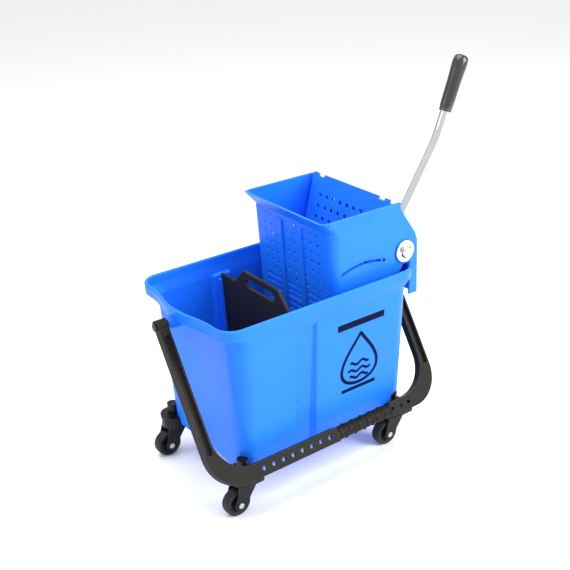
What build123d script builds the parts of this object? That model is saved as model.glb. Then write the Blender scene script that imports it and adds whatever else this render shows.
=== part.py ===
"""Wheeled mop bucket with a side-press wringer, a bail handle and a lift-out divider.

Millimetres, +Z up. The origin is on the floor under the middle of the bucket. X runs along the
bucket towards the wringer, and -Y is the front, where the bail hangs.
"""

from build123d import *
import os
from math import cos, pi, radians, sin, sqrt

# ---- bucket ----
FLOOR_Z = 5.0
BASE_Z = 70.0
SHOULDER_Z = 336.0
FLARE_TOP_Z = 352.0
RIM_Z = 372.0
BASE_LEFT = 172.0
BASE_RIGHT = 197.0
TOP_LEFT = 187.0
TOP_RIGHT = 199.0
BASE_HALF_WIDTH = 121.0
TOP_HALF_WIDTH = 135.0
RIM_LEFT = 209.0
RIM_RIGHT = 211.0
RIM_HALF_WIDTH = 141.0
BASE_CORNER = 27.0
TOP_CORNER = 32.0
RIM_CORNER = 34.0
WALL = 3.0
RIM_WALL = 6.0
BASE_ROUND = 10.0
RIM_ROUND = 2.0
SPOUT_DEPTH = 14.0
END_RECESS = 4.0
END_BULGE_HALF = 96.0

# ---- divider and its slots ----
DIVIDER_X = -40.0
DIVIDER_THICKNESS = 5.0
DIVIDER_SHOULDER_Z = 340.0
DIVIDER_TOP_Z = 370.0
SLOT_WIDTH = 6.4
SLOT_RIB = 6.0
SLOT_RIB_TOP_Z = 330.0
GROOVE_HALF_WIDTH = 15.0
GROOVE_RUN = 30.0
GROOVE_DEPTH_TOP = 5.0
GROOVE_DEPTH_BASE = 10.0

# ---- bail ----
BAIL_PIVOT_Z = 347.0
BAIL_TILT = 32.7
BAIL_LENGTH = 299.0
BAIL_BAR_HEIGHT = 26.0
BAIL_INNER_X = 236.0
BAIL_OUTER_X = 256.0
BAIL_CORNER = 64.0
BAIL_THICKNESS = 16.0
BAIL_HOLE_PITCH = 20.5
BAIL_HOLE_RADIUS = 4.2
BAIL_FLANGE = 3.5
BAIL_CHANNEL_END_X = 178.0
BOSS_RADIUS = 11.0
PIN_START_X = 226.0
PIN_HEAD_RADIUS = 7.0
GRIP_START_X = 5.0
GRIP_END_X = 133.0
GRIP_SEGMENTS = 6

# ---- casters ----
STEM_X = 174.0
STEM_Y = 117.0
CASTER_TOP_Z = 83.6
POCKET_Z = 86.0
POCKET_RADIUS = 25.0
SOCKET_RADIUS = 10.0
SOCKET_Z = 112.0
WHEEL_Z = 30.0
WHEEL_RADIUS = 25.0
HUB_RADIUS = 17.5
WHEEL_HALF_WIDTH = 10.0
WHEEL_TRAIL = 17.0
CHEEK_INNER = 12.5
CHEEK_OUTER = 15.5

# ---- wringer housing ----
PANEL_Y = 116.0
PANEL_WALL = 3.5
BASKET_TOP_Z = 494.0
LIP_FOOT_Z = 470.0
BASKET_MID_Z = 345.0
BASKET_BASE_Z = 236.0
BASKET_LIP_X = 7.0
BASKET_TOP_X = 27.0
BASKET_MID_X = 35.0
BASKET_BASE_X = 39.0
BASKET_CORNER = 18.0
LIP_CORNER = 12.0
HOOK_X = 232.0
HOOK_Z = 307.0
HOOK_INNER_X = 212.5
END_WALL_X = 178.5
END_WALL = 3.2

# ---- press plate, lever and crank ----
AXLE_X = 196.0
AXLE_Z = 399.0
AXLE_RADIUS = 7.0
HINGE_X = 104.0
HINGE_Z = 250.0
HINGE_RADIUS = 5.0
PLATE_LEAN = 15.0
PLATE_LENGTH = 257.6
PLATE_HALF_WIDTH = 108.0
PLATE_RATIO = 0.4
GUIDE_RADIUS = 151.0
CRANK_LENGTH = 82.0
CRANK_ANGLE = 238.0
ROLLER_RADIUS = 9.0
LEVER_TRAVEL = 65.0
LEVER_Y = -72.0
LEVER_LEAN = 33.1
LEVER_TOP_LEAN = 21.6
LEVER_BEND_Z = 577.0
LEVER_BEND_RADIUS = 220.0
LEVER_END_Z = 719.0
TUBE_RADIUS = 8.5
TUBE_BORE = 7.0
GRIP_LENGTH = 104.0

RUNNING_GAP = 0.05
CLEARANCE = 0.4
SIDES = (-1, 1)


def block(x0, x1, y0, y1, z0, z1):
    """A box between two corners."""
    return Pos((x0 + x1) / 2, (y0 + y1) / 2, (z0 + z1) / 2) * Box(x1 - x0, y1 - y0, z1 - z0)


def rod(radius, start, end):
    """A round bar from one point to another."""
    start, end = Vector(*start), Vector(*end)
    return Solid.make_cylinder(radius, (end - start).length, Plane(start, z_dir=end - start))


def cross_rod(radius, x, z, y0, y1):
    """A round bar along Y."""
    return rod(radius, (x, y0, z), (x, y1, z))


def across(sketch, y0, y1):
    """A sketch drawn in X and Z, made solid from y0 to y1."""
    return extrude(Plane.XZ.offset(-y1) * sketch, amount=y1 - y0)


def link(p0, r0, p1, r1, y0, y1):
    """A flat bar with two round ends, in X and Z."""
    ends = (Pos(*p0) * Circle(r0)).edges() + (Pos(*p1) * Circle(r1)).edges()
    return across(make_hull(ends), y0, y1)


def arc_band(radius, half_width, low, high, y0, y1):
    """A curved slot about the plate hinge, from one lean angle to another, with round ends."""

    def spot(r, angle):
        return (HINGE_X + r * sin(radians(angle)), HINGE_Z + r * cos(radians(angle)))

    middle = (low + high) / 2
    over = 57.3 * half_width / radius
    outer, inner = radius + half_width, radius - half_width
    edges = [
        ThreePointArc(spot(outer, low), spot(outer, middle), spot(outer, high)),
        ThreePointArc(spot(outer, high), spot(radius, high + over), spot(inner, high)),
        ThreePointArc(spot(inner, high), spot(inner, middle), spot(inner, low)),
        ThreePointArc(spot(inner, low), spot(radius, low - over), spot(outer, low)),
    ]
    return across(make_face(edges), y0, y1)


def save(node, *solids):
    """Write one node, from one solid or several, with the floor at height nought."""
    found = [Pos(0, 0, -FLOOR_Z) * s for shape in solids for s in shape.solids()]
    export_step(found[0] if len(found) == 1 else Compound(found), f"parts/{node}.step")


# ---------------------------------------------------------------- bucket
def ring(z, left_end, right_end, half_width, corner, bulge):
    """The bucket's outline at one height: flat sides, round corners, ends that curve by bulge."""
    side = half_width - corner
    mitre = corner * (1 - sqrt(0.5))
    bow_y = half_width - mitre

    def end_curve(length, sign):
        points = []
        for k in range(-4, 5):
            y = side * k / 4
            swell = bulge * cos(pi * y / (2 * END_BULGE_HALF)) ** 2 * (abs(y) < END_BULGE_HALF)
            points.append((sign * (length + swell), sign * y, z))
        return points

    right, left = end_curve(right_end, 1), end_curve(left_end, -1)
    straight, back = right_end - corner, corner - left_end
    right_bow, left_bow = right_end - mitre, mitre - left_end
    edges = [
        Line((back, -half_width, z), (straight, -half_width, z)),
        ThreePointArc((straight, -half_width, z), (right_bow, -bow_y, z), right[0]),
        Spline(*right, tangents=[(0, 1, 0), (0, 1, 0)]),
        ThreePointArc(right[-1], (right_bow, bow_y, z), (straight, half_width, z)),
        Line((straight, half_width, z), (back, half_width, z)),
        ThreePointArc((back, half_width, z), (left_bow, bow_y, z), left[0]),
        Spline(*left, tangents=[(0, -1, 0), (0, -1, 0)]),
        ThreePointArc(left[-1], (left_bow, -bow_y, z), (back, -half_width, z)),
    ]
    return Wire(edges)


def wall_ring(z, inset):
    """The outline of the tapering wall at height z, moved in by inset."""
    t = (z - BASE_Z) / (SHOULDER_Z - BASE_Z)
    left = BASE_LEFT + t * (TOP_LEFT - BASE_LEFT)
    right = BASE_RIGHT + t * (TOP_RIGHT - BASE_RIGHT)
    width = BASE_HALF_WIDTH + t * (TOP_HALF_WIDTH - BASE_HALF_WIDTH)
    corner = BASE_CORNER + t * (TOP_CORNER - BASE_CORNER)
    return ring(z, left - inset, right - inset, width - inset, corner - inset, -END_RECESS)


def rim_ring(z, inset):
    """The outline of the rim, moved in by inset."""
    left, right, half_width = RIM_LEFT - inset, RIM_RIGHT - inset, RIM_HALF_WIDTH - inset
    return ring(z, left, right, half_width, RIM_CORNER - inset, SPOUT_DEPTH)


def caster_pockets(extra):
    """The round pockets and stem sockets that the four casters stand in, larger by extra."""
    pockets = []
    for sx in SIDES:
        for sy in SIDES:
            x, y = sx * STEM_X, sy * STEM_Y
            low = (x, y, BASE_Z - 10)
            pockets.append(rod(POCKET_RADIUS + extra, low, (x, y, POCKET_Z + extra)))
            pockets.append(rod(SOCKET_RADIUS + extra, low, (x, y, SOCKET_Z + extra)))
    return pockets


def bucket_body():
    """The bucket's outer form, filled in."""
    turns = [radians(a) for a in (0, 30, 60, 90)]
    rings = [wall_ring(BASE_Z + BASE_ROUND * (1 - cos(a)), BASE_ROUND * (1 - sin(a))) for a in turns]
    rings += [wall_ring(SHOULDER_Z, 0), rim_ring(FLARE_TOP_Z, 0), rim_ring(RIM_Z - RIM_ROUND, -0.8)]
    rings += [rim_ring(RIM_Z, RIM_ROUND - 0.8)]
    return Solid.make_loft(rings, ruled=True) - caster_pockets(0)


def bucket_hollow():
    """The space inside the bucket."""
    floor = BASE_Z + 4
    turns = [radians(a) for a in (0, 30, 60, 90)]
    rings = [wall_ring(floor + BASE_ROUND * (1 - cos(a)), WALL + BASE_ROUND * (1 - sin(a))) for a in turns]
    rings += [wall_ring(SHOULDER_Z, WALL), rim_ring(FLARE_TOP_Z + 3, RIM_WALL)]
    rings += [rim_ring(RIM_Z - RIM_ROUND, RIM_WALL - 0.8), rim_ring(RIM_Z, RIM_WALL - 0.8 - RIM_ROUND)]
    rings += [rim_ring(RIM_Z + 5, RIM_WALL - 0.8 - RIM_ROUND)]
    return Solid.make_loft(rings, ruled=True) - caster_pockets(WALL)


def slot_floor(z):
    """Half the distance between the floors of the two divider slots, at height z."""
    return 107.5 + 19 * (z - BASE_Z) / (SHOULDER_Z - BASE_Z)


def slanted_bar(half_width_x, y_base, y_top, y_far, z_base, z_top):
    """A bar standing in one divider slot, whose inner face slants from y_base to y_top."""
    outline = [(0, y_far, z_base), (0, y_base, z_base), (0, y_top, z_top), (0, y_far, z_top)]
    face = make_face(Polyline(*outline, close=True))
    bar = extrude(face, amount=half_width_x, dir=(1, 0, 0), both=True)
    return Pos(DIVIDER_X, 0, 0) * bar


def groove(half_width, extra):
    """The shallow channel down one outer wall, in line with the divider."""
    top, base = SHOULDER_Z, BASE_Z - 2
    y_top = -(TOP_HALF_WIDTH - GROOVE_DEPTH_TOP - extra)
    y_base = -(BASE_HALF_WIDTH - GROOVE_DEPTH_BASE - extra)
    outer = half_width + GROOVE_RUN

    def section(y, z, widen):
        points = [(-outer - widen, y - 30, z), (-half_width, y, z)]
        points += [(half_width, y, z), (outer + widen, y - 30, z)]
        return Wire(Polyline(*points, close=True).edges())

    sections = [section(y_base, base, 4), section(y_top, top, 0)]
    return Pos(DIVIDER_X, 0, 0) * Solid.make_loft(sections, ruled=True)


def both_sides(shape):
    """A shape and its mirror image in the XZ plane."""
    return shape + mirror(shape, about=Plane.XZ)


def slot_ribs():
    """Two ribs on each side wall, with the divider's slot between them."""
    half = SLOT_WIDTH / 2 + SLOT_RIB
    rib = slanted_bar(half, -98, -121, -150, BASE_Z + 3, SLOT_RIB_TOP_Z)
    low, high = BASE_Z, SLOT_RIB_TOP_Z + 10
    gap = slanted_bar(SLOT_WIDTH / 2, -slot_floor(low), -slot_floor(high), 0, low, high)
    return both_sides(rib - gap)


def rest_ribs():
    """Four posts inside the walls that the wringer stands on."""
    posts = [block(x - 4, x + 4, -140, -109, BASE_Z + 2, BASKET_BASE_Z - CLEARANCE) for x in (74, 126)]
    return both_sides(posts[0] + posts[1])


def bucket_shell(body):
    """The bucket, moulded in one piece."""
    shell = body - bucket_hollow()
    backing = both_sides(groove(GROOVE_HALF_WIDTH + 1, WALL)) & body
    shell = shell + backing + (slot_ribs() & body) + (rest_ribs() & body)
    return shell - both_sides(groove(GROOVE_HALF_WIDTH, 0))


def divider_panel():
    """The lift-out wall between clean and dirty water, with its hand slot."""
    half = DIVIDER_THICKNESS / 2
    floor = BASE_Z + 5
    foot, shoulder = slot_floor(floor) - 1.2, slot_floor(DIVIDER_SHOULDER_Z) - 1.2
    side = [(-foot, floor), (foot, floor), (shoulder, DIVIDER_SHOULDER_Z), (80, DIVIDER_SHOULDER_Z)]
    side += [(52, DIVIDER_TOP_Z), (-52, DIVIDER_TOP_Z), (-80, DIVIDER_SHOULDER_Z)]
    side += [(-shoulder, DIVIDER_SHOULDER_Z)]
    face = make_face(Polyline(*[(0, y, z) for y, z in side], close=True))
    panel = extrude(face, amount=half, dir=(1, 0, 0), both=True)
    slot = Plane.YZ.offset(-10) * (Pos(0, 350) * SlotOverall(86, 17))
    panel = panel - extrude(slot, amount=20)
    return Pos(DIVIDER_X, 0, 0) * panel


# ---------------------------------------------------------------- bail
def bail_frame():
    """The frame the bail is drawn in: X across, Y up the arms, Z out of its front face."""
    tilt = radians(BAIL_TILT)
    return Plane((0, 0, BAIL_PIVOT_Z), x_dir=(1, 0, 0), z_dir=(0, -cos(tilt), sin(tilt)))


def bail_boss(side, body):
    """The round block on the end wall that carries one bail pin."""
    boss = rod(BOSS_RADIUS, (side * 190, 0, BAIL_PIVOT_Z), (side * 229, 0, BAIL_PIVOT_Z))
    collar = rod(8.5, (side * 229, 0, BAIL_PIVOT_Z), (side * 233.5, 0, BAIL_PIVOT_Z))
    bore = rod(5, (side * PIN_START_X, 0, BAIL_PIVOT_Z), (side * 240, 0, BAIL_PIVOT_Z))
    return boss + collar - bore - body


def bail_pin(side):
    """The steel pin that one arm of the bail swings on."""
    shaft = rod(5, (side * PIN_START_X, 0, BAIL_PIVOT_Z), (side * 257, 0, BAIL_PIVOT_Z))
    head = rod(PIN_HEAD_RADIUS, (side * 257, 0, BAIL_PIVOT_Z), (side * 259, 0, BAIL_PIVOT_Z))
    return shaft + head


def bail_outline():
    """The bail's flat shape, with wide round lower corners."""
    outer, inner = BAIL_OUTER_X, BAIL_INNER_X
    low, high = -BAIL_LENGTH, -(BAIL_LENGTH - BAIL_BAR_HEIGHT)
    frame = Pos(0, low / 2) * Rectangle(2 * outer, -low)
    frame = fillet(frame.vertices().group_by(Axis.Y)[0], BAIL_CORNER)
    opening = Pos(0, high / 2) * Rectangle(2 * inner, -high)
    opening = fillet(opening.vertices().group_by(Axis.Y)[0], BAIL_CORNER)
    return frame - opening


def bar_pocket(x0, x1):
    """The pocket in the back of the bail's bar between two places along it."""
    low, high = -BAIL_LENGTH + BAIL_FLANGE, -(BAIL_LENGTH - BAIL_BAR_HEIGHT) - BAIL_FLANGE
    return block(x0, x1, low, high, -20, 3)


def bail_handle():
    """The swinging carrying handle: channel arms, a flat drilled bar and a neck for the grip."""
    half = BAIL_THICKNESS / 2
    bail = Pos(0, 0, -half) * extrude(bail_outline(), amount=BAIL_THICKNESS)
    middle = (BAIL_INNER_X + BAIL_OUTER_X) / 2
    bail = bail - bar_pocket(-BAIL_CHANNEL_END_X, GRIP_START_X - 9)
    bail = bail - bar_pocket(GRIP_END_X + 9, BAIL_CHANNEL_END_X)
    bar_y = -(BAIL_LENGTH - BAIL_BAR_HEIGHT / 2)
    for side in SIDES:
        eye = rod(11, (side * BAIL_INNER_X, 0, 0), (side * BAIL_OUTER_X, 0, 0))
        channel = Pos(side * middle, -125, half) * Box(13, 214, 14)
        bail = bail + eye - fillet(channel.edges().filter_by(Axis.Z), 4)
        bail = bail - rod(5 + RUNNING_GAP, (side * 230, 0, 0), (side * 262, 0, 0))
    steps = [k for k in range(17) if not 7 < k < 14]
    for k in steps[:11]:
        hole_x = -158 + BAIL_HOLE_PITCH * (k if k < 8 else k + 0.3)
        bail = bail - rod(BAIL_HOLE_RADIUS, (hole_x, bar_y, -20), (hole_x, bar_y, 20))
    neck = block(GRIP_START_X, GRIP_END_X, bar_y - 30, bar_y + 30, -20, 20)
    core = block(GRIP_START_X - 1, GRIP_END_X + 1, bar_y - 8, bar_y + 8, -5, 5)
    return bail_frame() * (bail - (neck - core))


def bail_grip():
    """The ribbed hand grip round the bail's bar."""
    bar_y = -(BAIL_LENGTH - BAIL_BAR_HEIGHT / 2)
    pitch = (GRIP_END_X - GRIP_START_X) / GRIP_SEGMENTS
    along = Plane((GRIP_START_X, bar_y, 0), z_dir=(1, 0, 0))
    grip = extrude(along * Ellipse(9.5, 12), amount=GRIP_END_X - GRIP_START_X)
    for k in range(GRIP_SEGMENTS):
        start = Plane((GRIP_START_X + pitch * k + 1.2, bar_y, 0), z_dir=(1, 0, 0))
        swell = extrude(start * Ellipse(11.5, 14), amount=pitch - 2.4)
        ends = swell.edges().group_by(Axis.X)
        grip = grip + fillet(ends[0] + ends[-1], 3)
    core = block(GRIP_START_X - 1, GRIP_END_X + 1, bar_y - 8, bar_y + 8, -5, 5)
    return bail_frame() * (grip - core)


# ---------------------------------------------------------------- casters
def caster_shoe(sx, sy, body):
    """The corner bracket that one caster plugs into; the front ones also carry the resting bail."""
    x, y = sx * STEM_X, sy * STEM_Y
    shoe = rod(SOCKET_RADIUS, (x, y, CASTER_TOP_Z + CLEARANCE), (x, y, SOCKET_Z))
    shoe = shoe + rod(24, (x, y, CASTER_TOP_Z + CLEARANCE), (x, y, POCKET_Z + 4))
    if sy < 0:
        ledge = block(x - 20, x + 20, -159, -112, CASTER_TOP_Z + CLEARANCE, 90.6)
        shoe = shoe + fillet(ledge.edges().filter_by(Axis.Z), 8)
    bore = rod(5.5 + RUNNING_GAP, (x, y, 80), (x, y, 106))
    return shoe - bore - body


def caster_fork(sx, sy):
    """Swivel head with its stem and the two cheeks that hold the wheel."""
    x, y = sx * STEM_X, sy * STEM_Y
    head = rod(22.5, (x, y, 66), (x, y, CASTER_TOP_Z))
    head = fillet(head.edges().group_by(Axis.Z)[-1], 2.5)
    stem = rod(5.5, (x, y, CASTER_TOP_Z - 4), (x, y, 105))
    axle = (x - WHEEL_TRAIL, WHEEL_Z)
    fork = head + stem
    for side in SIDES:
        near, far = sorted((y + side * CHEEK_INNER, y + side * CHEEK_OUTER))
        fork = fork + link((x, 66), 17, axle, 11, near, far)
    wheel_room = cross_rod(WHEEL_RADIUS + 3, axle[0], axle[1], y - CHEEK_INNER, y + CHEEK_INNER)
    return fork - wheel_room - cross_rod(3, axle[0], axle[1], y - 20, y + 20)


def caster_rivet(sx, sy):
    """The riveted wheel axle."""
    x, y = sx * STEM_X - WHEEL_TRAIL, sy * STEM_Y
    rivet = cross_rod(3, x, WHEEL_Z, y - CHEEK_OUTER, y + CHEEK_OUTER)
    for side in SIDES:
        start, end = sorted((y + side * CHEEK_OUTER, y + side * (CHEEK_OUTER + 2)))
        rivet = rivet + cross_rod(5.2, x, WHEEL_Z, start, end)
    return rivet


def wheel_hub(sx, sy):
    """The wheel's plastic centre."""
    x, y = sx * STEM_X - WHEEL_TRAIL, sy * STEM_Y
    hub = cross_rod(HUB_RADIUS, x, WHEEL_Z, y - 8, y + 8)
    hub = hub + cross_rod(7, x, WHEEL_Z, y - CHEEK_INNER + 0.3, y + CHEEK_INNER - 0.3)
    return hub - cross_rod(3 + RUNNING_GAP, x, WHEEL_Z, y - 20, y + 20)


def wheel_tyre(sx, sy):
    """The soft tread round one wheel."""
    x, y = sx * STEM_X - WHEEL_TRAIL, sy * STEM_Y
    tyre = cross_rod(WHEEL_RADIUS, x, WHEEL_Z, y - WHEEL_HALF_WIDTH, y + WHEEL_HALF_WIDTH)
    tyre = fillet(tyre.edges().filter_by(GeomType.CIRCLE), 3.5)
    return tyre - cross_rod(HUB_RADIUS, x, WHEEL_Z, y - 20, y + 20)


# ---------------------------------------------------------------- wringer housing
def basket_block(inset):
    """The housing's plan lofted up its leaning left wall, moved in by inset."""
    lift = BASKET_BASE_Z + inset
    levels = [(lift, BASKET_BASE_X, BASKET_CORNER), (BASKET_MID_Z, BASKET_MID_X, BASKET_CORNER)]
    levels += [(LIP_FOOT_Z + inset / 2, BASKET_TOP_X, BASKET_CORNER)]
    levels += [(BASKET_TOP_Z + inset / 2, BASKET_LIP_X, LIP_CORNER)]
    right, far = HOOK_X + 10, PANEL_Y - inset

    def section(z, x, corner):
        left, radius = x + inset, corner - inset
        mitre = radius * (1 - sqrt(0.5))
        edges = [
            Line((right, -far, z), (left + radius, -far, z)),
            ThreePointArc((left + radius, -far, z), (left + mitre, mitre - far, z), (left, radius - far, z)),
            Line((left, radius - far, z), (left, far - radius, z)),
            ThreePointArc((left, far - radius, z), (left + mitre, far - mitre, z), (left + radius, far, z)),
            Line((left + radius, far, z), (right, far, z)),
            Line((right, far, z), (right, -far, z)),
        ]
        return Wire(edges)

    return Solid.make_loft([section(*level) for level in levels], ruled=True)


def side_profile():
    """The housing seen from the front: basket, sloping shoulder and the hook over the rim."""
    points = [(0, BASKET_BASE_Z), (0, BASKET_TOP_Z), (183, BASKET_TOP_Z), (186, 480)]
    points += [(222, 429), (228, 414), (HOOK_X, HOOK_Z), (HOOK_INNER_X, HOOK_Z), (HOOK_INNER_X, RIM_Z + 1.4)]
    points += [(194, RIM_Z + 1.4), (179.5, 344), (176, 290), (140, BASKET_BASE_Z)]
    return make_face(Polyline(*points, close=True))


def end_structure():
    """The cross walls between the side panels: end wall, ledge on the rim and outer hook wall."""
    far = PANEL_Y - 1
    wall = block(END_WALL_X, END_WALL_X + END_WALL, -far, far, RIM_Z + 1.4, 487)
    ledge = block(END_WALL_X, 230, -far, far, RIM_Z + 1.4, RIM_Z + 5)
    hook = block(226, 229.4, -far, far, HOOK_Z, RIM_Z + 5)
    hook = hook - block(220, 236, -24, 24, HOOK_Z - 1, 366)
    parts = wall + ledge + hook
    for side in SIDES:
        low, high = sorted((side * 49.5, side * 64.5))
        parts = parts - block(170, 197, low, high, RIM_Z - 5, 500)
        low, high = sorted((side * 36.5, side * 64.5))
        parts = parts - block(170, 190, low, high, RIM_Z - 5, 412)
    return parts


def wall_stiffener(side):
    """A smooth upright rib on the basket's left wall."""
    points = [(BASKET_TOP_X + 1, LIP_FOOT_Z - 6), (BASKET_TOP_X - 2.6, LIP_FOOT_Z - 12)]
    points += [(BASKET_MID_X - 2.6, BASKET_MID_Z), (BASKET_BASE_X - 2.6, BASKET_BASE_Z + 10)]
    points += [(BASKET_BASE_X + 1, BASKET_BASE_Z + 4), (BASKET_MID_X + 1, BASKET_MID_Z)]
    return across(make_face(Polyline(*points, close=True)), side * 29 - 6, side * 29 + 6)


def drain_cutters():
    """The round holes and the long louvre slots in the basket's left wall."""
    rows = [LIP_FOOT_Z - 12 - 17.8 * k for k in range(7)]
    columns = [-76, -58, -40, -9, 9, 40, 58, 76]
    cutters = [rod(3.7, (15, y, z), (51, y, z)) for z in rows for y in columns]
    for k in range(7):
        z = BASKET_MID_Z - 9 - 12.5 * k
        for low, high in ((-84, -37), (-21, 21), (37, 84)):
            cutters.append(block(15, 53, low, high, z - 2.6, z + 2.6))
    return cutters


def wringer_housing():
    """The wringer's one-piece basket."""
    shell = basket_block(0) - basket_block(PANEL_WALL)
    shell = shell & across(side_profile(), -PANEL_Y, PANEL_Y)
    shell = shell - block(128, 240, -PANEL_Y + PANEL_WALL, PANEL_Y - PANEL_WALL, 230, BASKET_BASE_Z + 8)
    shell = shell + end_structure() + wall_stiffener(-1) + wall_stiffener(1)
    for side in SIDES:
        low, high = sorted((side * (PANEL_Y - 0.5), side * (PANEL_Y + 2)))
        shell = shell + block(21, 183, low, high, BASKET_TOP_Z - 5, BASKET_TOP_Z)
        shell = shell + arc_band(GUIDE_RADIUS, 6.5, 5.3, 18.5, low, high)
        low, high = sorted((side * (PANEL_Y - PANEL_WALL - 1), side * (PANEL_Y + 3)))
        shell = shell - arc_band(GUIDE_RADIUS, 3.3, -20.5, 16.5, low, high)
    shell = shell - cross_rod(10, AXLE_X, AXLE_Z, -130, 130)
    shell = shell - cross_rod(HINGE_RADIUS, HINGE_X, HINGE_Z, -130, 130)
    return shell - drain_cutters()


def hinge_rod():
    """The steel rod the press plate hinges on."""
    return cross_rod(HINGE_RADIUS, HINGE_X, HINGE_Z, -PANEL_Y - 1, PANEL_Y + 1)


def axle_bush(side):
    """The flanged bush that carries the lever axle in one side panel."""
    y0, y1 = sorted((side * (PANEL_Y - 6), side * PANEL_Y))
    f0, f1 = sorted((side * PANEL_Y, side * (PANEL_Y + 1.4)))
    bush = cross_rod(10, AXLE_X, AXLE_Z, y0, y1) + cross_rod(14, AXLE_X, AXLE_Z, f0, f1)
    return bush - cross_rod(AXLE_RADIUS + RUNNING_GAP, AXLE_X, AXLE_Z, -130, 130)


# ---------------------------------------------------------------- press plate
def roller_in_plate(lever_angle):
    """The crank roller's centre in the plate's own frame, when the lever has turned this far."""
    angle = radians(CRANK_ANGLE - lever_angle)
    x = AXLE_X + CRANK_LENGTH * cos(angle) - HINGE_X
    z = AXLE_Z + CRANK_LENGTH * sin(angle) - HINGE_Z
    lean = radians(PLATE_LEAN - PLATE_RATIO * lever_angle)
    return Vector(x * cos(lean) - z * sin(lean), 0, x * sin(lean) + z * cos(lean))


def cam_edge():
    """The edge the roller runs along: its path, moved towards the plate by its radius."""
    points = []
    for k in range(-1, 14):
        angle = LEVER_TRAVEL * k / 13
        along = (roller_in_plate(angle + 0.5) - roller_in_plate(angle - 0.5)).normalized()
        towards = Vector(-along.Z, 0, along.X)
        points.append(roller_in_plate(angle) + towards * (ROLLER_RADIUS + CLEARANCE))
    return points


def cam_rib(y):
    """A rib on the back of the plate, shaped so that the plate turns evenly with the lever."""
    edge = [(p.X, p.Z) for p in cam_edge()]
    foot, head = (1, edge[0][1] - 12), (1, edge[-1][1] + 16)
    face = make_face([Line(foot, edge[0]), Spline(*edge), Line(edge[-1], head), Line(head, foot)])
    return across(face, y - 5, y + 5)


def press_plate():
    """The drilled plate that squeezes the mop against the basket's left wall."""
    wide, long = PLATE_HALF_WIDTH, PLATE_LENGTH
    plate = block(-2, 2, -wide, wide, 0, long - 6)
    plate = plate + cross_rod(9, 0, 0, -wide, wide)
    plate = plate + block(-2, 7, -98, 98, long - 14, long - 6)
    for low, high in ((-76, 76), (-wide + 3, -92), (92, wide - 3)):
        plate = plate + block(-2, 2, low, high, long - 8, long)
    for side in SIDES:
        low, high = sorted((side * (wide - 4), side * wide))
        plate = plate + block(-2, 9, low, high, 12, long - 14)
        low, high = sorted((side * (wide - 4), side * (PANEL_Y - 0.6)))
        plate = plate + cross_rod(2.8, 0, GUIDE_RADIUS, low, high)
        plate = plate + cam_rib(side * 44)
        plate = plate + block(-2, 6, side * 87 - 1.5, side * 87 + 1.5, 12, long - 14)
    holes = []
    for row in range(9):
        for column in range(-4, 5):
            y, z = 19.4 * column, 218.4 - 21 * row
            holes.append(rod(4.2, (-6, y, z), (2.01, y, z)))
    plate = plate - holes
    plate = plate - cross_rod(HINGE_RADIUS + RUNNING_GAP, 0, 0, -130, 130)
    return Pos(HINGE_X, 0, HINGE_Z) * Rot(0, PLATE_LEAN, 0) * plate


# ---------------------------------------------------------------- lever
def up_lever(distance, lean=LEVER_LEAN):
    """A point up the lever's lower run, measured from the axle."""
    lean = radians(lean)
    return Vector(AXLE_X + distance * sin(lean), LEVER_Y, AXLE_Z + distance * cos(lean))


def lever_route():
    """The lever's ends, its bend and the start of the grip."""
    bend = up_lever((LEVER_BEND_Z - AXLE_Z) / cos(radians(LEVER_LEAN)))
    upper = radians(LEVER_TOP_LEAN)
    rise = Vector(sin(upper), 0, cos(upper))
    end = bend + rise * ((LEVER_END_Z - LEVER_BEND_Z) / cos(upper))
    return bend, end, rise


def lever_tube():
    """The bent steel tube from the hub to the hand grip."""
    bend, end, rise = lever_route()
    path = FilletPolyline(up_lever(16), bend, end - rise * 5, radius=LEVER_BEND_RADIUS)
    start = Plane(up_lever(16), z_dir=up_lever(17) - up_lever(16))
    outer = sweep(start * Circle(TUBE_RADIUS), path=path)
    inner = sweep(start * Circle(TUBE_BORE), path=path)
    return outer - inner


def lever_hub():
    """The clamp that joins the tube to the axle."""
    hub = cross_rod(12.5, AXLE_X, AXLE_Z, LEVER_Y - 11, LEVER_Y + 11)
    hub = hub + rod(12, up_lever(0), up_lever(42))
    hub = hub - rod(TUBE_RADIUS, up_lever(16), up_lever(60))
    return hub - cross_rod(AXLE_RADIUS, AXLE_X, AXLE_Z, -130, 130)


def lever_grip():
    """The moulded hand grip, a little fuller towards its closed end."""
    _, end, rise = lever_route()
    top, shoulder, long = 12.5, 14.2, GRIP_LENGTH
    profile = [
        Line((TUBE_RADIUS, 0), (11.5, 0)),
        Line((11.5, 0), (12.6, 4)),
        Spline((12.6, 4), (12.9, long * 0.5), (shoulder, long * 0.82), (top, long - 3)),
        Line((top, long - 3), (top - 3.5, long)),
        Line((top - 3.5, long), (0, long)),
        Line((0, long), (0, long - 5)),
        Line((0, long - 5), (TUBE_RADIUS, long - 5)),
        Line((TUBE_RADIUS, long - 5), (TUBE_RADIUS, 0)),
    ]
    grip = revolve(Plane.XZ * make_face(profile), Axis.Z)
    return Plane(end - rise * long, x_dir=(0, 1, 0), z_dir=rise) * grip


def lever_axle():
    """The cross shaft, with the tube clamped at the front."""
    return cross_rod(AXLE_RADIUS, AXLE_X, AXLE_Z, -PANEL_Y - 4.2, PANEL_Y + 4.2)


def axle_washer(side):
    """The bright washer outside one side panel."""
    y0, y1 = sorted((side * (PANEL_Y + 1.8), side * (PANEL_Y + 4.2)))
    washer = cross_rod(21, AXLE_X, AXLE_Z, y0, y1)
    rim = washer.edges().filter_by(GeomType.CIRCLE).group_by(Axis.Y)[-1 if side > 0 else 0]
    washer = fillet(rim, 1.1)
    return washer - cross_rod(AXLE_RADIUS, AXLE_X, AXLE_Z, -130, 130)


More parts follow.
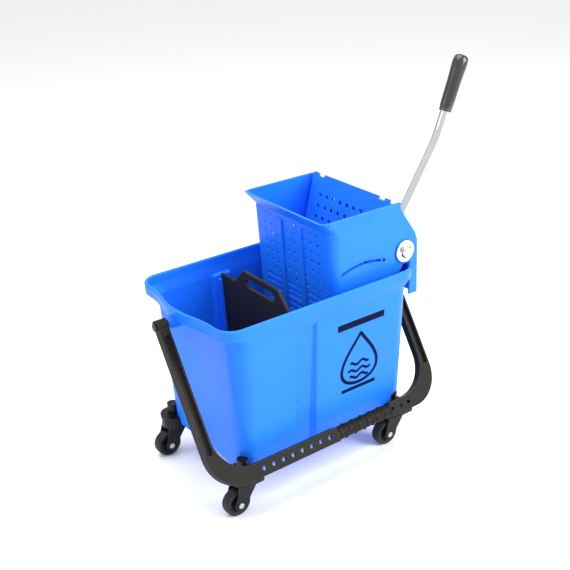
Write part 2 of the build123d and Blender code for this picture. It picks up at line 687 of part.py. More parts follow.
def axle_bolt(side):
    """The domed bolt head on one end of the axle."""
    y0, y1 = sorted((side * (PANEL_Y + 4.2), side * (PANEL_Y + 12)))
    head = cross_rod(12, AXLE_X, AXLE_Z, y0, y1)
    rim = head.edges().filter_by(GeomType.CIRCLE).group_by(Axis.Y)[-1 if side > 0 else 0]
    return fillet(rim, 5.5)


def crank_tip():
    """The roller bar's place, in X and Z."""
    angle = radians(CRANK_ANGLE)
    return AXLE_X + CRANK_LENGTH * cos(angle), AXLE_Z + CRANK_LENGTH * sin(angle)


def crank_arm(side):
    """A flat arm from the axle to the roller bar."""
    y0, y1 = sorted((side * 54, side * 60))
    arm = link((AXLE_X, AXLE_Z), 13, crank_tip(), 8.5, y0, y1)
    arm = arm - cross_rod(AXLE_RADIUS, AXLE_X, AXLE_Z, -130, 130)
    return arm - cross_rod(4, *crank_tip(), -130, 130)


def roller_bar():
    """The thin bar between the two arms."""
    return cross_rod(4, *crank_tip(), -62, 62)


def press_roller(side):
    """One roller, which pushes on a cam rib."""
    y0, y1 = sorted((side * 36, side * 52))
    return cross_rod(ROLLER_RADIUS, *crank_tip(), y0, y1) - cross_rod(4, *crank_tip(), -130, 130)


def return_spring():
    """The torsion spring round the axle that lifts the lever again."""
    wire, coil, start = 1.4, 11.0, 66.0
    helix = Helix(pitch=4, height=20, radius=coil)
    spring = sweep(Plane(helix @ 0, z_dir=helix % 0) * Circle(wire), path=helix, is_frenet=True)
    return Plane((AXLE_X, start, AXLE_Z), x_dir=(1, 0, 0), z_dir=(0, 1, 0)) * spring


def main():
    os.makedirs("parts", exist_ok=True)
    body = bucket_body()
    save("bucket_shell", bucket_shell(body))
    save("divider_panel", divider_panel())
    save("bail_handle", bail_handle())
    save("bail_grip", bail_grip())
    for side, name in zip(SIDES, ("left", "right")):
        save(f"bail_boss_{name}", bail_boss(side, body))
        save(f"bail_pin_{name}", bail_pin(side))
    for sx, sx_name in zip(SIDES, ("left", "right")):
        for sy, sy_name in zip(SIDES, ("front", "back")):
            corner = f"{sy_name}_{sx_name}"
            save(f"caster_shoe_{corner}", caster_shoe(sx, sy, body))
            save(f"caster_fork_{corner}", caster_fork(sx, sy))
            save(f"caster_rivet_{corner}", caster_rivet(sx, sy))
            save(f"wheel_hub_{corner}", wheel_hub(sx, sy))
            save(f"wheel_tyre_{corner}", wheel_tyre(sx, sy))
    save("wringer_housing", wringer_housing())
    save("plate_hinge_rod", hinge_rod())
    save("press_plate", press_plate())
    save("lever_axle", lever_axle())
    save("lever_tube", lever_tube())
    save("lever_hub", lever_hub())
    save("lever_grip", lever_grip())
    save("roller_bar", roller_bar())
    save("return_spring", return_spring())
    for side, name in zip(SIDES, ("front", "back")):
        save(f"axle_bush_{name}", axle_bush(side))
        save(f"axle_washer_{name}", axle_washer(side))
        save(f"axle_bolt_{name}", axle_bolt(side))
        save(f"crank_arm_{name}", crank_arm(side))
        save(f"press_roller_{name}", press_roller(side))


main()
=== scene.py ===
# %% [markdown]
# # A mop bucket with a side-press wringer
#
# This lesson dresses a mechanical model. The bucket, the wringer, the lever and the casters come in
# as a fixed frame, in metres, standing on Z = 0 with the front towards -Y, and nothing here changes
# their solids. What is missing is everything the eye enjoys: soft light, moulded plastic, plated
# steel, ribbed grips, turned wheels, a coil spring and a printed mark. The frame also has one known
# fault, a slit over each wall groove, and the last step hides it without mending it.

# %% Load the frame, and a way to read a part's box
from math import cos, pi, radians, sin

import bmesh
import bpy
from mathutils import Matrix, Vector
from mathutils.bvhtree import BVHTree


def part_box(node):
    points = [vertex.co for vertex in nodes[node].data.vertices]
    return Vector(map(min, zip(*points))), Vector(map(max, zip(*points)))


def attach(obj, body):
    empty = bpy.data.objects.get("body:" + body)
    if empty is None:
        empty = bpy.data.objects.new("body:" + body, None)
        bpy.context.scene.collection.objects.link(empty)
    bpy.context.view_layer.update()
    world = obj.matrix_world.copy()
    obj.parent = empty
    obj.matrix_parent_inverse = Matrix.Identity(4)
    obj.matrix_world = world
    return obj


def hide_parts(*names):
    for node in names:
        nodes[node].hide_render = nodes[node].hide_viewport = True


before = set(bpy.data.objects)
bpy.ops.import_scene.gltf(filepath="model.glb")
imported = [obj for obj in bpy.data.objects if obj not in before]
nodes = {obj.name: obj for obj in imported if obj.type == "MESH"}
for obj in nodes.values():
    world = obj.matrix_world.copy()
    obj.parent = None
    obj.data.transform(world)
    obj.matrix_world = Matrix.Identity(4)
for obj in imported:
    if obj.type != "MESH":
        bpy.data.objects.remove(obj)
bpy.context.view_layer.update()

# %% [markdown]
# ## The camera
#
# The bucket is seen from its front left, a little above the rim. A fairly long lens keeps the walls
# nearly parallel. The turn is built from three plain angles: a heading about Z, a pitch down, and a
# tiny roll about the viewing axis.

# %% Camera
CAMERA_PLACE = (-0.9167, -1.265, 1.071)
CAMERA_HEADING = radians(-36.32)
CAMERA_PITCH = radians(25.0)
CAMERA_ROLL = radians(-1.54)
CAMERA_LENS = 60.37

camera_data = bpy.data.cameras.new("camera")
camera_data.lens = CAMERA_LENS
camera = bpy.data.objects.new("camera", camera_data)
bpy.context.scene.collection.objects.link(camera)
heading = Matrix.Rotation(CAMERA_HEADING, 4, "Z")
pitch = Matrix.Rotation(pi / 2 - CAMERA_PITCH, 4, "X")
roll = Matrix.Rotation(CAMERA_ROLL, 4, "Z")
camera.matrix_world = Matrix.Translation(CAMERA_PLACE) @ heading @ pitch @ roll
bpy.context.scene.camera = camera
print("camera looks along", tuple(round(v, 3) for v in camera.matrix_world.to_3x3() @ Vector((0, 0, -1))))

# %% [markdown]
# ## The studio
#
# Bright plastic wants broad, soft sources. A large box stands at the front right and gives the long
# wall its glow, a second hangs overhead and looks down into the bucket, and a small weak one stands at
# the left. The room itself is a pale dome. Plated steel would vanish in a plain white room, so the
# dome has two darker upright bands, as a studio has black cards. They show in reflections and shade
# the object a little, while the camera looks straight past them at plain white.

# %% Floor, dome and soft boxes
FLOOR_SIZE = 16.0
DOME_LIGHT = 0.90
CARD_LIGHT = 0.02
CARD_SPREAD = 0.30
CARD_CORE = 0.6
CARD_HEADINGS = (radians(36.3 - 46), radians(36.3 + 46))

bpy.context.scene.view_settings.view_transform = "Standard"


def link_object(name, mesh):
    """A new object that holds this mesh, in the scene."""
    made = bpy.data.objects.new(name, mesh)
    bpy.context.scene.collection.objects.link(made)
    return made


def floor_plane():
    """A wide pale floor."""
    half = FLOOR_SIZE / 2
    mesh = bpy.data.meshes.new("floor")
    corners = [(-half, -half, 0), (half, -half, 0), (half, half, 0), (-half, half, 0)]
    mesh.from_pydata(corners, [], [(0, 1, 2, 3)])
    return link_object("floor", mesh)


def soft_box(name, place, aim, size, power):
    """A square area light that faces a point."""
    data = bpy.data.lights.new(name, "AREA")
    data.shape = "SQUARE"
    data.size = size
    data.energy = power
    light = bpy.data.objects.new(name, data)
    bpy.context.scene.collection.objects.link(light)
    toward = Vector(aim) - Vector(place)
    light.matrix_world = Matrix.Translation(place) @ toward.to_track_quat("-Z", "Y").to_matrix().to_4x4()
    return light


def dome():
    """The room: white to the camera, and a pale dome with two dark cards to everything else."""
    world = bpy.data.worlds.new("studio")
    bpy.context.scene.world = world
    world.use_nodes = True
    tree = world.node_tree
    background = tree.nodes["Background"]
    place = tree.nodes.new("ShaderNodeTexCoord")
    shades = []
    for card_heading in CARD_HEADINGS:
        beside = tree.nodes.new("ShaderNodeVectorMath")
        beside.operation = "DOT_PRODUCT"
        beside.inputs[1].default_value = (sin(card_heading), cos(card_heading), 0)
        tree.links.new(place.outputs["Generated"], beside.inputs[0])
        shade = tree.nodes.new("ShaderNodeMapRange")
        shade.interpolation_type = "SMOOTHSTEP"
        shade.inputs["From Min"].default_value = cos(CARD_SPREAD)
        shade.inputs["From Max"].default_value = cos(CARD_SPREAD * CARD_CORE)
        shade.inputs["To Min"].default_value = DOME_LIGHT
        shade.inputs["To Max"].default_value = CARD_LIGHT
        tree.links.new(beside.outputs["Value"], shade.inputs["Value"])
        shades.append(shade)
    darkest = tree.nodes.new("ShaderNodeMath")
    darkest.operation = "MINIMUM"
    tree.links.new(shades[0].outputs[0], darkest.inputs[0])
    tree.links.new(shades[1].outputs[0], darkest.inputs[1])
    seen = tree.nodes.new("ShaderNodeLightPath")
    strength = tree.nodes.new("ShaderNodeMix")
    tree.links.new(seen.outputs["Is Camera Ray"], strength.inputs["Factor"])
    tree.links.new(darkest.outputs[0], strength.inputs["A"])
    strength.inputs["B"].default_value = 1.0
    tree.links.new(strength.outputs["Result"], background.inputs["Strength"])
    background.inputs["Color"].default_value = (1, 1, 1, 1)


floor = floor_plane()
dome()
AIM = (0, 0, 0.3)
SOFT_BOXES = [
    ("front_box", (1.3, -2.1, 1.5), 1.5, 82),
    ("top_box", (-0.3, 0.1, 2.3), 1.8, 46),
    ("left_box", (-2.2, 0.5, 1.2), 0.9, 8),
]
for box_name, place, size, power in SOFT_BOXES:
    soft_box(box_name, place, AIM, size, power)
print("studio built with", len(bpy.data.lights), "soft boxes")

# %% [markdown]
# ## Effects that several finishes share
#
# Moulded and plated parts have a few things in common, so each is made once as a node group and
# placed in every material with its own numbers. `edge_catch` finds the corners of a part: it compares
# the true normal with one that is rounded over a small radius, which gives a mask of the edges where
# a lighter colour is painted on as a highlight, and a rounded normal that lets a sharp corner catch the
# light. `mould_skin` gives the fine grain of a tool surface and the slow change of tone in a thick
# moulding. `hand_marks` gives sparse rubbed streaks.


# %% Shared node groups
EDGE_BEGINS = 0.995
EDGE_IS_FULL = 0.85
STREAK_STRETCH = 0.12
STREAK_BEGINS = 0.55
STREAK_IS_FULL = 0.75


def effect(name, inputs, outputs):
    """An empty shader group with named inputs and outputs, and its two end nodes."""
    group = bpy.data.node_groups.new(name, "ShaderNodeTree")
    for label, kind, value in inputs:
        socket = group.interface.new_socket(label, in_out="INPUT", socket_type=kind)
        if value is not None:
            socket.default_value = value
    for label, kind in outputs:
        group.interface.new_socket(label, in_out="OUTPUT", socket_type=kind)
    return group, group.nodes.new("NodeGroupInput"), group.nodes.new("NodeGroupOutput")


def edge_catch():
    """A mask of the part's corners, and a normal that is rounded over them."""
    group, given, result = effect(
        "edge_catch",
        [("Radius", "NodeSocketFloat", 0.001)],
        [("Edge", "NodeSocketFloat"), ("Normal", "NodeSocketVector")],
    )
    rounded = group.nodes.new("ShaderNodeBevel")
    rounded.samples = 4
    true_normal = group.nodes.new("ShaderNodeNewGeometry")
    agree = group.nodes.new("ShaderNodeVectorMath")
    agree.operation = "DOT_PRODUCT"
    mask = group.nodes.new("ShaderNodeMapRange")
    mask.inputs["From Min"].default_value = EDGE_BEGINS
    mask.inputs["From Max"].default_value = EDGE_IS_FULL
    group.links.new(given.outputs["Radius"], rounded.inputs["Radius"])
    group.links.new(rounded.outputs["Normal"], agree.inputs[0])
    group.links.new(true_normal.outputs["Normal"], agree.inputs[1])
    group.links.new(agree.outputs["Value"], mask.inputs["Value"])
    group.links.new(mask.outputs["Result"], result.inputs["Edge"])
    group.links.new(rounded.outputs["Normal"], result.inputs["Normal"])
    return group


def mould_skin():
    """The fine grain of a mould's surface, and a slow change of tone."""
    group, given, result = effect(
        "mould_skin",
        [
            ("Place", "NodeSocketVector", None),
            ("Grain", "NodeSocketFloat", 900.0),
            ("Tone", "NodeSocketFloat", 7.0),
        ],
        [("Height", "NodeSocketFloat"), ("Shade", "NodeSocketFloat")],
    )
    for label, detail, output in (("Grain", 2.0, "Height"), ("Tone", 4.0, "Shade")):
        noise = group.nodes.new("ShaderNodeTexNoise")
        noise.inputs["Detail"].default_value = detail
        group.links.new(given.outputs["Place"], noise.inputs["Vector"])
        group.links.new(given.outputs[label], noise.inputs["Scale"])
        group.links.new(noise.outputs["Fac"], result.inputs[output])
    return group


def hand_marks():
    """Sparse rubbed streaks, longer along Z."""
    group, given, result = effect(
        "hand_marks",
        [
            ("Place", "NodeSocketVector", None),
            ("Scale", "NodeSocketFloat", 60.0),
            ("Amount", "NodeSocketFloat", 0.5),
        ],
        [("Mark", "NodeSocketFloat")],
    )
    stretch = group.nodes.new("ShaderNodeMapping")
    stretch.inputs["Scale"].default_value = (1.0, 1.0, STREAK_STRETCH)
    noise = group.nodes.new("ShaderNodeTexNoise")
    noise.inputs["Detail"].default_value = 6.0
    sparse = group.nodes.new("ShaderNodeMapRange")
    sparse.inputs["From Min"].default_value = STREAK_BEGINS
    sparse.inputs["From Max"].default_value = STREAK_IS_FULL
    scaled = group.nodes.new("ShaderNodeMath")
    scaled.operation = "MULTIPLY"
    group.links.new(given.outputs["Place"], stretch.inputs["Vector"])
    group.links.new(stretch.outputs["Vector"], noise.inputs["Vector"])
    group.links.new(given.outputs["Scale"], noise.inputs["Scale"])
    group.links.new(noise.outputs["Fac"], sparse.inputs["Value"])
    group.links.new(sparse.outputs["Result"], scaled.inputs[0])
    group.links.new(given.outputs["Amount"], scaled.inputs[1])
    group.links.new(scaled.outputs["Value"], result.inputs["Mark"])
    return group


EFFECTS = {group.name: group for group in (edge_catch(), mould_skin(), hand_marks())}
print("shared effects:", sorted(EFFECTS))

# %% [markdown]
# ## The finishes
#
# One recipe serves every finish on this object, because all of them are a base colour that drifts a
# little, edges painted a shade lighter as a highlight, a roughness that follows the grain and the rubbed
# marks, and a bump of the right scale. What makes blue polypropylene, black nylon, rubber and chrome
# different are the numbers, so they are listed side by side.


# %% The finish recipe
TONE_SCALE = 6.0
STREAK_SCALE = 55.0
STREAK_ROUGHENS = 0.25
RELIEF_DEPTH = 0.0004
COAT_ROUGHNESS = 0.12


def blend_colours(tree, factor, first, second):
    """A colour mix: factor and second may be sockets or values, first is a socket or a colour."""
    mix = tree.nodes.new("ShaderNodeMix")
    mix.data_type = "RGBA"
    for index, given in ((0, factor), (6, first), (7, second)):
        if isinstance(given, bpy.types.NodeSocket):
            tree.links.new(given, mix.inputs[index])
        else:
            mix.inputs[index].default_value = given
    return mix.outputs[2]


def arithmetic(tree, operation, first, second):
    """One Math node on two sockets or values."""
    node = tree.nodes.new("ShaderNodeMath")
    node.operation = operation
    for index, given in enumerate((first, second)):
        if isinstance(given, bpy.types.NodeSocket):
            tree.links.new(given, node.inputs[index])
        else:
            node.inputs[index].default_value = given
    return node.outputs[0]


def place_effect(tree, name, where, **values):
    """One shared group in a material, with its own values."""
    node = tree.nodes.new("ShaderNodeGroup")
    node.node_tree = EFFECTS[name]
    if where is not None:
        tree.links.new(where, node.inputs["Place"])
    for label, value in values.items():
        node.inputs[label].default_value = value
    return node


def finish(name, colour, shade, edge_highlight_colour, edge, rough, rough_drift, grain, bump, radius, marks=0.3,
           metal=0.0, level=0.5, coat=0.0):
    """A moulded or plated finish, with a painted highlight on its edges. Colours are linear, grain is in
    cycles per metre, radius in metres.
    """
    material = bpy.data.materials.new("finish_" + name)
    material.use_nodes = True
    tree = material.node_tree
    surface = tree.nodes["Principled BSDF"]
    where = tree.nodes.new("ShaderNodeTexCoord").outputs["Object"]
    skin = place_effect(tree, "mould_skin", where, Grain=grain, Tone=TONE_SCALE)
    rubbed = place_effect(tree, "hand_marks", where, Scale=STREAK_SCALE, Amount=marks)
    corner = place_effect(tree, "edge_catch", None, Radius=radius)
    body = blend_colours(tree, skin.outputs["Shade"], (*shade, 1), (*colour, 1))
    # The corners are painted a lighter colour here: a painted highlight, not wear.
    edge_highlight_mask = arithmetic(tree, "MULTIPLY", corner.outputs["Edge"], edge)
    tree.links.new(blend_colours(tree, edge_highlight_mask, body, (*edge_highlight_colour, 1)), surface.inputs["Base Color"])
    drift = arithmetic(tree, "MULTIPLY", skin.outputs["Shade"], rough_drift)
    roughness = arithmetic(tree, "ADD", drift, rough - rough_drift / 2)
    rubbing = arithmetic(tree, "MULTIPLY", rubbed.outputs["Mark"], STREAK_ROUGHENS)
    tree.links.new(arithmetic(tree, "ADD", roughness, rubbing), surface.inputs["Roughness"])
    relief = tree.nodes.new("ShaderNodeBump")
    relief.inputs["Strength"].default_value = bump
    relief.inputs["Distance"].default_value = RELIEF_DEPTH
    tree.links.new(skin.outputs["Height"], relief.inputs["Height"])
    tree.links.new(corner.outputs["Normal"], relief.inputs["Normal"])
    tree.links.new(relief.outputs["Normal"], surface.inputs["Normal"])
    surface.inputs["Metallic"].default_value = metal
    surface.inputs["Specular IOR Level"].default_value = level
    surface.inputs["Coat Weight"].default_value = coat
    surface.inputs["Coat Roughness"].default_value = COAT_ROUGHNESS
    return material


# Each edge colour is lighter than its body colour: a painted highlight on the corners.
FINISHES = {
    "blue_plastic": finish(
        "blue_plastic", colour=(0.016, 0.190, 0.93), shade=(0.005, 0.145, 0.82),
        edge_highlight_colour=(0.12, 0.38, 1.0), edge=0.5, rough=0.38, rough_drift=0.10,
        grain=700.0, bump=0.10, radius=0.0008, marks=0.2, level=0.18),
    "divider_plastic": finish(
        "divider_plastic", colour=(0.026, 0.022, 0.012), shade=(0.014, 0.012, 0.007),
        edge_highlight_colour=(0.16, 0.14, 0.11), edge=0.55, rough=0.45, rough_drift=0.14,
        grain=900.0, bump=0.20, radius=0.0012, marks=0.3, level=0.15),
    "bail_plastic": finish(
        "bail_plastic", colour=(0.013, 0.012, 0.010), shade=(0.008, 0.007, 0.006),
        edge_highlight_colour=(0.24, 0.22, 0.18), edge=0.7, rough=0.48, rough_drift=0.14,
        grain=1100.0, bump=0.30, radius=0.0009, marks=0.2, level=0.10),
    "black_plastic": finish(
        "black_plastic", colour=(0.006, 0.006, 0.006), shade=(0.004, 0.004, 0.004),
        edge_highlight_colour=(0.05, 0.05, 0.05), edge=0.5, rough=0.30, rough_drift=0.12,
        grain=1000.0, bump=0.22, radius=0.0010, marks=0.3, level=0.22),
    "tyre_rubber": finish(
        "tyre_rubber", colour=(0.018, 0.018, 0.019), shade=(0.010, 0.010, 0.011),
        edge_highlight_colour=(0.06, 0.06, 0.06), edge=0.4, rough=0.50, rough_drift=0.15,
        grain=1500.0, bump=0.4, radius=0.0008, marks=0.5, level=0.25),
    "steel": finish(
        "steel", colour=(0.60, 0.60, 0.58), shade=(0.48, 0.48, 0.47),
        edge_highlight_colour=(0.80, 0.80, 0.78), edge=0.4, rough=0.30, rough_drift=0.16,
        grain=1800.0, bump=0.12, radius=0.0006, marks=0.5, metal=1.0),
    "chrome": finish(
        "chrome", colour=(0.74, 0.75, 0.75), shade=(0.66, 0.67, 0.68),
        edge_highlight_colour=(0.92, 0.92, 0.92), edge=0.3, rough=0.14, rough_drift=0.05,
        grain=1500.0, bump=0.03, radius=0.0008, marks=0.15, metal=1.0),
    "grip_plastic": finish(
        "grip_plastic", colour=(0.022, 0.022, 0.024), shade=(0.014, 0.014, 0.016),
        edge_highlight_colour=(0.08, 0.08, 0.08), edge=0.3, rough=0.22, rough_drift=0.08,
        grain=1200.0, bump=0.10, radius=0.0010, marks=0.2, coat=0.3),
    "print_ink": finish(
        "print_ink", colour=(0.001, 0.002, 0.022), shade=(0.001, 0.001, 0.014),
        edge_highlight_colour=(0.002, 0.004, 0.03), edge=0.1, rough=0.50, rough_drift=0.10,
        grain=2500.0, bump=0.15, radius=0.0002, marks=0.1, level=0.05),
}
for node, cad_object in nodes.items():
    slot_name = cad_object.material_slots[0].material.name.split(".")[0]
    cad_object.material_slots[0].material = FINISHES[slot_name]
print("finishes:", sorted(FINISHES))


FLOOR_PALE = (0.93, 0.93, 0.93, 1)
FLOOR_PALER = (0.96, 0.96, 0.96, 1)
FLOOR_GRAIN = 40.0
FLOOR_TONE = 1.5
FLOOR_ROUGHNESS = 0.7
FLOOR_LEVEL = 0.2


def floor_finish():
    """A pale floor sweep, with a barely visible unevenness."""
    material = bpy.data.materials.new("finish_floor")
    material.use_nodes = True
    tree = material.node_tree
    surface = tree.nodes["Principled BSDF"]
    where = tree.nodes.new("ShaderNodeTexCoord").outputs["Object"]
    skin = place_effect(tree, "mould_skin", where, Grain=FLOOR_GRAIN, Tone=FLOOR_TONE)
    pale = blend_colours(tree, skin.outputs["Shade"], FLOOR_PALE, FLOOR_PALER)
    tree.links.new(pale, surface.inputs["Base Color"])
    surface.inputs["Roughness"].default_value = FLOOR_ROUGHNESS
    surface.inputs["Specular IOR Level"].default_value = FLOOR_LEVEL
    return material


floor.data.materials.append(floor_finish())

# %% [markdown]
# ## Growing the parts that repeat
#
# Several parts are one small shape many times over: the ribs inside a wheel, the barrels of a ribbed
# grip, the turns of a spring. Each is grown by a Geometry Nodes tree that is written out here. The
# tree's inputs are set by name, the result is kept as a plain mesh, and the modifier goes away.


# %% Geometry Nodes helpers
MM = 0.001
COIL_STEPS_A_TURN = 28
WIRE_SIDES = 10


def new_tree(name, inputs):
    """An empty Geometry Nodes tree, with the identifiers of its inputs and its two end nodes."""
    tree = bpy.data.node_groups.new(name, "GeometryNodeTree")
    tree.is_modifier = True
    tree.interface.new_socket("Geometry", in_out="INPUT", socket_type="NodeSocketGeometry")
    tree.interface.new_socket("Geometry", in_out="OUTPUT", socket_type="NodeSocketGeometry")
    keys = {}
    for label, kind in inputs:
        keys[label] = tree.interface.new_socket(label, in_out="INPUT", socket_type=kind).identifier
    return tree, keys, tree.nodes.new("NodeGroupInput"), tree.nodes.new("NodeGroupOutput")


def grow(name, tree, keys, **values):
    """The plain mesh that a tree makes with these input values."""
    holder = link_object(name + "_seed", bpy.data.meshes.new(name + "_seed"))
    modifier = holder.modifiers.new("grow", "NODES")
    modifier.node_group = tree
    for label, value in values.items():
        modifier[keys[label]] = value
    evaluated = holder.evaluated_get(bpy.context.evaluated_depsgraph_get())
    mesh = bpy.data.meshes.new_from_object(evaluated)
    holder.modifiers.clear()
    bpy.data.objects.remove(holder)
    mesh.name = name
    return mesh


def finish_tree(tree, given, result, geometry):
    """The last steps of every tree: realize the instances, set the material and hand over."""
    realize = tree.nodes.new("GeometryNodeRealizeInstances")
    paint = tree.nodes.new("GeometryNodeSetMaterial")
    tree.links.new(geometry, realize.inputs["Geometry"])
    tree.links.new(realize.outputs["Geometry"], paint.inputs["Geometry"])
    tree.links.new(given.outputs["Material"], paint.inputs["Material"])
    tree.links.new(paint.outputs["Geometry"], result.inputs["Geometry"])


def row_tree():
    """Count copies of a piece, one step apart."""
    wanted = [("Piece", "NodeSocketObject"), ("Count", "NodeSocketInt"), ("Step", "NodeSocketVector")]
    tree, keys, given, result = new_tree("row_of_pieces", wanted + [("Material", "NodeSocketMaterial")])
    line = tree.nodes.new("GeometryNodeMeshLine")
    line.mode = "OFFSET"
    piece = tree.nodes.new("GeometryNodeObjectInfo")
    place = tree.nodes.new("GeometryNodeInstanceOnPoints")
    tree.links.new(given.outputs["Count"], line.inputs["Count"])
    tree.links.new(given.outputs["Step"], line.inputs["Offset"])
    tree.links.new(given.outputs["Piece"], piece.inputs["Object"])
    tree.links.new(line.outputs["Mesh"], place.inputs["Points"])
    tree.links.new(piece.outputs["Geometry"], place.inputs["Instance"])
    finish_tree(tree, given, result, place.outputs["Instances"])
    return tree, keys


def ring_tree():
    """Count copies of a piece, turned evenly about the Y axis."""
    wanted = [("Piece", "NodeSocketObject"), ("Count", "NodeSocketInt"), ("Material", "NodeSocketMaterial")]
    tree, keys, given, result = new_tree("ring_of_pieces", wanted)
    line = tree.nodes.new("GeometryNodeMeshLine")
    line.mode = "OFFSET"
    line.inputs["Offset"].default_value = (0, 0, 0)
    piece = tree.nodes.new("GeometryNodeObjectInfo")
    place = tree.nodes.new("GeometryNodeInstanceOnPoints")
    index = tree.nodes.new("GeometryNodeInputIndex")
    share = tree.nodes.new("ShaderNodeMath")
    share.operation = "DIVIDE"
    angle = tree.nodes.new("ShaderNodeMath")
    angle.operation = "MULTIPLY"
    angle.inputs[1].default_value = 2 * pi
    turn = tree.nodes.new("FunctionNodeAxisAngleToRotation")
    turn.inputs["Axis"].default_value = (0, 1, 0)
    tree.links.new(given.outputs["Count"], line.inputs["Count"])
    tree.links.new(given.outputs["Piece"], piece.inputs["Object"])
    tree.links.new(index.outputs["Index"], share.inputs[0])
    tree.links.new(given.outputs["Count"], share.inputs[1])
    tree.links.new(share.outputs[0], angle.inputs[0])
    tree.links.new(angle.outputs[0], turn.inputs["Angle"])
    tree.links.new(line.outputs["Mesh"], place.inputs["Points"])
    tree.links.new(piece.outputs["Geometry"], place.inputs["Instance"])
    tree.links.new(turn.outputs["Rotation"], place.inputs["Rotation"])
    finish_tree(tree, given, result, place.outputs["Instances"])
    return tree, keys


def coil_tree():
    """A wire wound round the Z axis."""
    wanted = [("Turns", "NodeSocketFloat"), ("Radius", "NodeSocketFloat"), ("Height", "NodeSocketFloat")]
    wanted += [("Wire", "NodeSocketFloat"), ("Material", "NodeSocketMaterial")]
    tree, keys, given, result = new_tree("coil", wanted)
    spiral = tree.nodes.new("GeometryNodeCurveSpiral")
    spiral.inputs["Resolution"].default_value = COIL_STEPS_A_TURN
    wire = tree.nodes.new("GeometryNodeCurvePrimitiveCircle")
    wire.inputs["Resolution"].default_value = WIRE_SIDES
    skin = tree.nodes.new("GeometryNodeCurveToMesh")
    skin.inputs["Fill Caps"].default_value = True
    smooth = tree.nodes.new("GeometryNodeSetShadeSmooth")
    tree.links.new(given.outputs["Turns"], spiral.inputs["Rotations"])
    tree.links.new(given.outputs["Radius"], spiral.inputs["Start Radius"])
    tree.links.new(given.outputs["Radius"], spiral.inputs["End Radius"])
    tree.links.new(given.outputs["Height"], spiral.inputs["Height"])
    tree.links.new(given.outputs["Wire"], wire.inputs["Radius"])
    tree.links.new(spiral.outputs["Curve"], skin.inputs["Curve"])
    tree.links.new(wire.outputs["Curve"], skin.inputs["Profile Curve"])
    tree.links.new(skin.outputs["Mesh"], smooth.inputs["Geometry"])
    finish_tree(tree, given, result, smooth.outputs["Geometry"])
    return tree, keys


ROW, ROW_KEYS = row_tree()
RING, RING_KEYS = ring_tree()
COIL, COIL_KEYS = coil_tree()
print("trees:", ROW.name, RING.name, COIL.name)

# %% [markdown]
# ## Turning a profile
#
# Wheels and grips are turned shapes. A profile is a list of radii and heights in millimetres; it is
# swept round its axis, the normals are made to face outwards, and edges sharper than about 35 degrees
# stay crisp while the rest is shaded smoothly.

# %% The lathe
CRISP = radians(35)


def settle(built, name, place=None):
    """A mesh from a bmesh, moved into place, facing outwards and crisp at its real corners."""
    mesh = bpy.data.meshes.new(name)
    bmesh.ops.remove_doubles(built, verts=built.verts, dist=1e-6)
    if place is not None:
        bmesh.ops.transform(built, matrix=place, verts=built.verts)
    bmesh.ops.recalc_face_normals(built, faces=built.faces)
    built.to_mesh(mesh)
    built.free()
    mesh.shade_smooth()
    mesh.set_sharp_from_angle(angle=CRISP)
    return mesh


def lathe(name, profile, segments, place=None, closed=False):
    """A profile of (radius, height) pairs in millimetres, turned round the Z axis."""
    built = bmesh.new()
    rings = []
    for radius, height in profile:
        turns = [2 * pi * k / segments for k in range(segments)] if radius > 0 else [0]
        spots = [(radius * cos(t) * MM, radius * sin(t) * MM, height * MM) for t in turns]
        rings.append([built.verts.new(spot) for spot in spots])
    follow = rings[1:] + rings[:1] if closed else rings[1:]
    for low, high in zip(rings, follow):
        for k in range(segments):
            m = (k + 1) % segments
            corners = [low[k % len(low)], low[m % len(low)], high[m % len(high)], high[k % len(high)]]
            built.faces.new(list(dict.fromkeys(corners)))
    return settle(built, name, place)


def plain_box(name, low, high):
    """A box between two corners, in millimetres."""
    built = bmesh.new()
    bmesh.ops.create_cube(built, size=1.0)
    size = [h - l for l, h in zip(low, high)]
    middle = [(h + l) / 2 * MM for l, h in zip(low, high)]
    shape = Matrix.Translation(middle) @ Matrix.Diagonal((*[s * MM for s in size], 1))
    return settle(built, name, shape)


def piece(name, mesh, finish_name, body, *replaced):
    """A finished piece: its object, its finish, the body it rides and the nodes it stands for."""
    made = link_object(name, mesh)
    mesh.materials.clear()
    mesh.materials.append(FINISHES[finish_name])
    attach(made, body)
    if replaced:
        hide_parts(*replaced)
    return made


def joined(name, *meshes):
    """Several meshes as one, and the separate ones are gone."""
    built = bmesh.new()
    for mesh in meshes:
        built.from_mesh(mesh)
        bpy.data.meshes.remove(mesh)
    return settle(built, name)


# %% [markdown]
# ## Wheels
#
# The tyre is crowned and carries two shallow grooves. The hub has a recessed web on both sides, and
# eight ribs cross it, grown as a ring.

# %% Wheels
TYRE_PROFILE = [
    (17.6, -8.4), (19.5, -9.6), (21.8, -9.95), (23.8, -9.0), (24.7, -6.8), (24.9, -4.6),
    (24.2, -4.2), (24.2, -3.4), (24.95, -3.0), (24.95, 3.0), (24.2, 3.4), (24.2, 4.2),
    (24.9, 4.6), (24.7, 6.8), (23.8, 9.0), (21.8, 9.95), (19.5, 9.6), (17.6, 8.4),
]
HUB_PROFILE = [
    (3.1, -12.1), (6.4, -12.1), (6.9, -11.6), (6.9, -8.2), (8.6, -4.6), (14.0, -4.6), (15.2, -7.8),
    (17.4, -7.8), (17.4, 7.8), (15.2, 7.8), (14.0, 4.6), (8.6, 4.6), (6.9, 8.2), (6.9, 11.6),
    (6.4, 12.1), (3.1, 12.1),
]
WHEEL_RIBS = 8
RIB_LOW = (7.5, -6.9, -0.8)
RIB_HIGH = (15.6, 6.9, 0.8)
TYRE_SEGMENTS = 56
HUB_SEGMENTS = 48
ALONG_Y = Matrix.Rotation(pi / 2, 4, "X")


def centre_of(node):
    """The middle of a CAD node's box."""
    low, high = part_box(node)
    return (low + high) / 2


